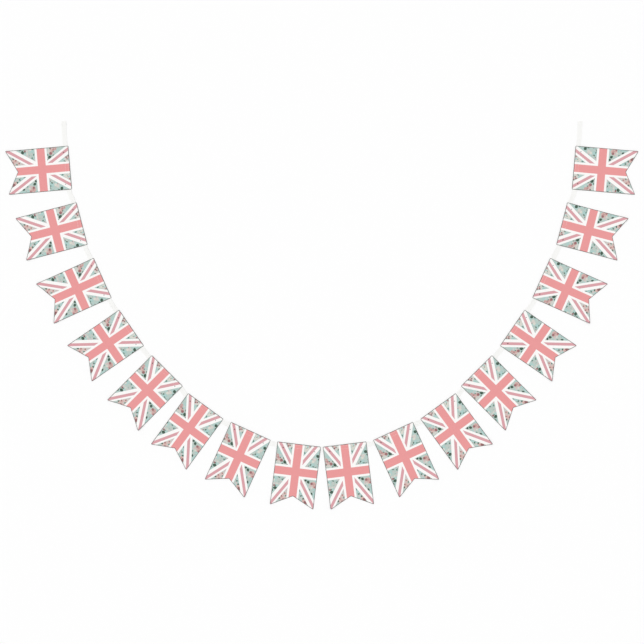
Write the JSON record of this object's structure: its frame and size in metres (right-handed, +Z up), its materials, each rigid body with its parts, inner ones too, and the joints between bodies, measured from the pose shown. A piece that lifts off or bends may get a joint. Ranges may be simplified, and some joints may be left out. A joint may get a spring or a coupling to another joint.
{
  "type": "fabric bunting",
  "caption": "Swag of swallow-tailed cloth flags, printed with a pink and white cross over flowers on mint, sewn to a narrow white tape and laid out flat.",
  "frame": {"origin": "middle of the laid-out swag's outline, on the surface that it lies on", "axes": "+X along the swag's width, +Y towards the free ends of the tape, +Z up from the surface, so the printed faces look along +Z"},
  "size_m": [2.044, 1.2528, 0.0025],
  "materials": {
    "printed_cloth": "matte printed plain weave",
    "white_tape": "matte woven tape",
    "edge_thread": "overlocked thread"
  },
  "bodies": {
    "root": {"flag_01": "printed_cloth", "flag_02": "printed_cloth", "flag_03": "printed_cloth", "flag_04": "printed_cloth", "flag_05": "printed_cloth", "flag_06": "printed_cloth", "flag_07": "printed_cloth", "flag_08": "printed_cloth", "flag_09": "printed_cloth", "flag_10": "printed_cloth", "flag_11": "printed_cloth", "flag_12": "printed_cloth", "flag_13": "printed_cloth", "flag_14": "printed_cloth", "flag_15": "printed_cloth", "flag_16": "printed_cloth", "tape": "white_tape"}
  },
  "joints": []
}
